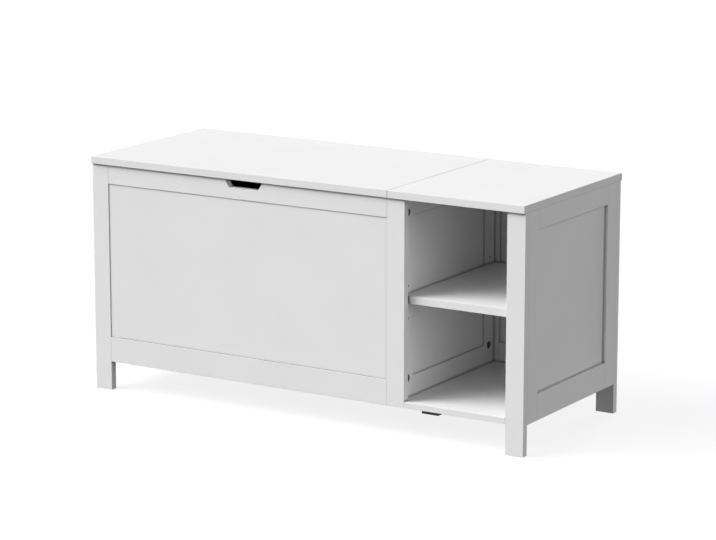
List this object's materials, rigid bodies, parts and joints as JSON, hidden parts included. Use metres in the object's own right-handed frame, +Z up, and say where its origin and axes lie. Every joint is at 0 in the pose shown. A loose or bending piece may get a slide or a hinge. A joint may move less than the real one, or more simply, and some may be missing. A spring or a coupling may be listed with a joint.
{
  "type": "storage bench",
  "caption": "White framed storage bench: a chest under a hinged flap lid with a finger notch beside an open cubby with a shelf, on board legs.",
  "frame": {"origin": "on the ground, under the middle of the bench's box", "axes": "+X to the right along the front (chest to cubby), +Y from the front to the back, +Z up"},
  "size_m": [1, 0.4, 0.485],
  "materials": {
    "white_top": "white satin lacquer on MDF",
    "white_frame": "white satin lacquer on MDF",
    "white_panel": "white satin lacquer on thin MDF",
    "beech": "raw turned beech",
    "zinc_plated_steel": "bright zinc plating",
    "die_cast_zinc": "grey die-cast zinc",
    "black_plastic": "matt black moulded plastic",
    "strut_plastic": "black nylon",
    "chromed_rod": "ground and chromed",
    "strut_tube_paint": "black powder coat",
    "black_bracket": "black powder coat"
  },
  "bodies": {
    "carcass": {"cam_bolts": "zinc_plated_steel", "cam_locks": "die_cast_zinc", "centre_foot": "black_plastic", "chest_floor": "white_frame", "cubby_floor": "white_frame", "divider_bottom_rail": "white_frame", "divider_front_stile": "white_frame", "divider_panel": "white_panel", "divider_rear_stile": "white_frame", "divider_top_rail": "white_frame", "fixed_top": "white_top", "floor_dowels": "beech", "foot_screw": "zinc_plated_steel", "frame_dowels": "beech", "front_bottom_rail": "white_frame", "front_centre_stile": "white_frame", "front_left_leg": "white_frame", "front_panel": "white_panel", "front_right_leg": "white_frame", "front_top_rail": "white_frame", "hinge_frame_leaves": "zinc_plated_steel", "hinge_frame_screws": "zinc_plated_steel", "hinge_pins": "zinc_plated_steel", "left_side_bottom_rail": "white_frame", "left_side_front_stile": "white_frame", "left_side_panel": "white_panel", "left_side_rear_stile": "white_frame", "left_side_top_rail": "white_frame", "rear_centre_stile": "white_frame", "rear_chest_bottom_rail": "white_frame", "rear_chest_panel": "white_panel", "rear_chest_top_rail": "white_frame", "rear_cubby_bottom_rail": "white_frame", "rear_cubby_panel": "white_panel", "rear_cubby_top_rail": "white_frame", "rear_left_leg": "white_frame", "rear_right_leg": "white_frame", "right_side_bottom_rail": "white_frame", "right_side_front_stile": "white_frame", "right_side_panel": "white_panel", "right_side_rear_stile": "white_frame", "right_side_top_rail": "white_frame", "shelf": "white_frame", "shelf_pins": "zinc_plated_steel", "strut_wall_bracket": "black_bracket", "strut_wall_screws": "zinc_plated_steel"},
    "lid_assembly": {"lid": "white_top", "hinge_lid_leaves": "zinc_plated_steel", "hinge_lid_screws": "zinc_plated_steel", "strut_lid_bracket": "black_bracket", "strut_lid_screws": "zinc_plated_steel"},
    "strut_rod_end": {"strut_rod": "chromed_rod", "strut_piston": "strut_plastic", "strut_rod_socket": "strut_plastic"},
    "strut_tube_end": {"strut_tube": "strut_tube_paint", "strut_gland": "strut_plastic", "strut_tube_socket": "strut_plastic"}
  },
  "joints": [
    {"name": "lid_hinge", "type": "hinge", "parent": "carcass", "child": "lid_assembly", "pos_m": [-0.14925, 0.1976, 0.4674], "axis": [-1, 0, 0], "range_deg": [0, 80]},
    {"name": "strut_rod_pivot", "type": "hinge", "parent": "carcass", "child": "strut_rod_end", "pos_m": [-0.471, 0.1605, 0.27087], "axis": [-1, 0, 0], "range_deg": [0, 40]},
    {"name": "strut_tube_pivot", "type": "hinge", "parent": "lid_assembly", "child": "strut_tube_end", "pos_m": [-0.471, -0.00207, 0.456], "axis": [-1, 0, 0], "range_deg": [-40, 0]}
  ],
  "couplings": [
    {"joint": "strut_rod_pivot", "follows": "lid_hinge", "ratio": 0.5},
    {"joint": "strut_tube_pivot", "follows": "lid_hinge", "ratio": -0.5}
  ]
}
